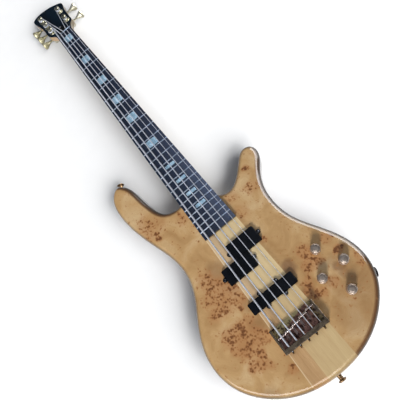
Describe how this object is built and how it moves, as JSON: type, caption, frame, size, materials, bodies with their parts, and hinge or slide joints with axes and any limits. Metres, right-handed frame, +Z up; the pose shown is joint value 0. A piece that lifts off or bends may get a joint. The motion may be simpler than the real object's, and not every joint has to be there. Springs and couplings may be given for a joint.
{
  "type": "electric bass guitar",
  "caption": "Solid-body electric bass guitar with a through-neck, burl top, split and bar pickups, control knobs and gold tuners and bridge, lying on its back.",
  "frame": {"origin": "on the flat back, on the centre line, under the nominal end of the scale length", "axes": "+X to the treble side, +Y along the strings towards the head, +Z up out of the face"},
  "size_m": [0.339, 1.1419, 0.0611],
  "materials": {
    "maple": "satin oiled",
    "wing_wood": "gloss lacquer",
    "burl": "gloss lacquer",
    "ebony": "oiled",
    "black_veneer": "gloss lacquer",
    "fret_wire": "polished",
    "pearl": "pearl",
    "nut_black": "satin",
    "steel": "plain",
    "gold": "gold plate",
    "black_plastic": "moulded",
    "black_metal": "black plate",
    "bobbin": "wound",
    "battery_case": "plain",
    "circuit_board": "plain",
    "wire_sheath": "plain",
    "string_steel": "wound",
    "knob_metal": "satin"
  },
  "bodies": {
    "instrument": {"neck_centre_lamination": "maple", "neck_bass_lamination": "maple", "neck_treble_lamination": "maple", "headstock_face": "black_veneer", "body_wing_bass": "wing_wood", "body_wing_treble": "wing_wood", "top_bass": "burl", "top_treble": "burl", "fretboard": "ebony", "frets": "fret_wire", "fret_inlays": "pearl", "nut": "nut_black", "truss_rod": "steel", "truss_rod_cover": "black_plastic", "tuner_housings": "gold", "tuner_bushings": "gold", "bridge_frame": "gold", "bridge_screws": "gold", "intonation_screws": "gold", "p_pickup_cover_bass": "black_plastic", "p_pickup_cover_treble": "black_plastic", "j_pickup_cover": "black_plastic", "pickup_coils": "bobbin", "pickup_screws": "steel", "pot_bodies": "steel", "pot_nuts": "steel", "control_cover": "black_plastic", "battery": "battery_case", "preamp_board": "circuit_board", "wiring": "wire_sheath", "output_jack": "black_metal", "jack_cup": "black_plastic", "strap_buttons": "gold", "strap_button_screws": "gold", "small_screws": "steel", "string_b": "string_steel", "string_e": "string_steel", "string_a": "string_steel", "string_d": "string_steel", "string_g": "string_steel"},
    "tuner_key_b": {"tuner_key_b": "gold"},
    "tuner_key_e": {"tuner_key_e": "gold"},
    "tuner_key_a": {"tuner_key_a": "gold"},
    "tuner_key_d": {"tuner_key_d": "gold"},
    "tuner_key_g": {"tuner_key_g": "gold"},
    "tuner_post_b": {"tuner_post_b": "gold"},
    "tuner_post_e": {"tuner_post_e": "gold"},
    "tuner_post_a": {"tuner_post_a": "gold"},
    "tuner_post_d": {"tuner_post_d": "gold"},
    "tuner_post_g": {"tuner_post_g": "gold"},
    "saddle_b": {"saddle_b": "gold"},
    "saddle_e": {"saddle_e": "gold"},
    "saddle_a": {"saddle_a": "gold"},
    "saddle_d": {"saddle_d": "gold"},
    "saddle_g": {"saddle_g": "gold"},
    "neck_volume_knob": {"neck_volume_knob": "knob_metal"},
    "bridge_volume_knob": {"bridge_volume_knob": "knob_metal"},
    "treble_knob": {"treble_knob": "knob_metal"},
    "bass_knob": {"bass_knob": "knob_metal"}
  },
  "joints": [
    {"name": "key_turn_b", "type": "hinge", "parent": "instrument", "child": "tuner_key_b", "pos_m": [-0.024, 0.91013, 0.02038], "axis": [1, 0, 0], "continuous": true},
    {"name": "post_turn_b", "type": "hinge", "parent": "instrument", "child": "tuner_post_b", "pos_m": [-0.024, 0.90375, 0.04006], "axis": [0, 0.1392, 0.9903], "continuous": true},
    {"name": "saddle_slide_b", "type": "slide", "parent": "instrument", "child": "saddle_b", "axis": [0, 1, 0], "range_m": [-0.001, 0.006]},
    {"name": "key_turn_e", "type": "hinge", "parent": "instrument", "child": "tuner_key_e", "pos_m": [-0.026, 0.94281, 0.01579], "axis": [1, 0, 0], "continuous": true},
    {"name": "post_turn_e", "type": "hinge", "parent": "instrument", "child": "tuner_post_e", "pos_m": [-0.026, 0.93643, 0.03547], "axis": [0, 0.1392, 0.9903], "continuous": true},
    {"name": "saddle_slide_e", "type": "slide", "parent": "instrument", "child": "saddle_e", "axis": [0, 1, 0], "range_m": [-0.001, 0.006]},
    {"name": "key_turn_a", "type": "hinge", "parent": "instrument", "child": "tuner_key_a", "pos_m": [-0.0285, 0.97549, 0.0112], "axis": [1, 0, 0], "continuous": true},
    {"name": "post_turn_a", "type": "hinge", "parent": "instrument", "child": "tuner_post_a", "pos_m": [-0.0285, 0.96911, 0.03087], "axis": [0, 0.1392, 0.9903], "continuous": true},
    {"name": "saddle_slide_a", "type": "slide", "parent": "instrument", "child": "saddle_a", "axis": [0, 1, 0], "range_m": [-0.001, 0.006]},
    {"name": "key_turn_d", "type": "hinge", "parent": "instrument", "child": "tuner_key_d", "pos_m": [0.024, 0.96113, 0.01321], "axis": [1, 0, 0], "continuous": true},
    {"name": "post_turn_d", "type": "hinge", "parent": "instrument", "child": "tuner_post_d", "pos_m": [0.024, 0.95475, 0.03289], "axis": [0, 0.1392, 0.9903], "continuous": true},
    {"name": "saddle_slide_d", "type": "slide", "parent": "instrument", "child": "saddle_d", "axis": [0, 1, 0], "range_m": [-0.001, 0.006]},
    {"name": "key_turn_g", "type": "hinge", "parent": "instrument", "child": "tuner_key_g", "pos_m": [0.0245, 0.91359, 0.01989], "axis": [1, 0, 0], "continuous": true},
    {"name": "post_turn_g", "type": "hinge", "parent": "instrument", "child": "tuner_post_g", "pos_m": [0.0245, 0.90722, 0.03957], "axis": [0, 0.1392, 0.9903], "continuous": true},
    {"name": "saddle_slide_g", "type": "slide", "parent": "instrument", "child": "saddle_g", "axis": [0, 1, 0], "range_m": [-0.001, 0.006]},
    {"name": "neck_volume_knob_turn", "type": "hinge", "parent": "instrument", "child": "neck_volume_knob", "pos_m": [0.109, 0.0575, 0.045], "axis": [0, 0, 1], "range_deg": [-150, 150]},
    {"name": "bridge_volume_knob_turn", "type": "hinge", "parent": "instrument", "child": "bridge_volume_knob", "pos_m": [0.0845, 0.012, 0.045], "axis": [0, 0, 1], "range_deg": [-150, 150]},
    {"name": "treble_knob_turn", "type": "hinge", "parent": "instrument", "child": "treble_knob", "pos_m": [0.134, 0.0145, 0.045], "axis": [0, 0, 1], "range_deg": [-150, 150]},
    {"name": "bass_knob_turn", "type": "hinge", "parent": "instrument", "child": "bass_knob", "pos_m": [0.11, -0.031, 0.045], "axis": [0, 0, 1], "range_deg": [-150, 150]}
  ],
  "couplings": [
    {"joint": "post_turn_b", "follows": "key_turn_b", "ratio": 0.05},
    {"joint": "post_turn_e", "follows": "key_turn_e", "ratio": 0.05},
    {"joint": "post_turn_a", "follows": "key_turn_a", "ratio": 0.05},
    {"joint": "post_turn_d", "follows": "key_turn_d", "ratio": 0.05},
    {"joint": "post_turn_g", "follows": "key_turn_g", "ratio": 0.05}
  ]
}
